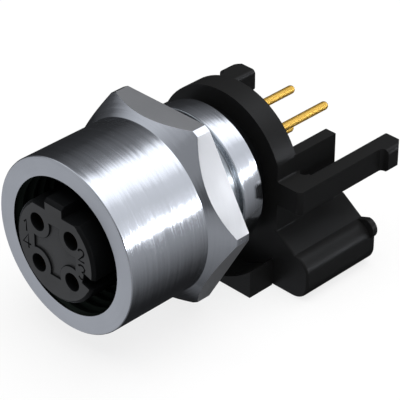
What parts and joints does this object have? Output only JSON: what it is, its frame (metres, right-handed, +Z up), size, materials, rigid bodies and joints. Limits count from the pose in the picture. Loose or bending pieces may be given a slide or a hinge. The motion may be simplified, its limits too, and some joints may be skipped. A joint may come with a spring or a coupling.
{
  "type": "panel connector",
  "caption": "Straight circular panel connector with female contacts, hexagonal metal shell and a latching circuit-board holder",
  "frame": {"origin": "on the connector's axis, in the rear face of the hexagon, which seats on the panel", "axes": "+Y along the axis towards the solder tails, mating side faces -Y, +Z up to the coding key, +X to the right seen from the mating side"},
  "size_m": [0.0192, 0.028, 0.0159],
  "materials": {
    "nickel_plated_brass": "bright nickel plate over turned brass",
    "seal_rubber": "matte nitrile rubber",
    "black_plastic": "moulded glass-filled plastic, satin black",
    "gold_plated_brass": "gold plate over turned brass"
  },
  "bodies": {
    "carrier": {"contact_insert": "black_plastic", "board_holder": "black_plastic", "contact_1": "gold_plated_brass", "contact_2": "gold_plated_brass", "contact_3": "gold_plated_brass", "contact_4": "gold_plated_brass"},
    "seal": {"shell_seal": "seal_rubber"},
    "housing": {"shell": "nickel_plated_brass"}
  },
  "joints": [
    {"name": "shell_slide", "type": "slide", "parent": "carrier", "child": "seal", "axis": [0, -1, 0], "range_m": [0, 0.0105]},
    {"name": "shell_turn", "type": "hinge", "parent": "seal", "child": "housing", "pos_m": [0, -0.00205, 0], "axis": [0, -1, 0], "continuous": true}
  ]
}
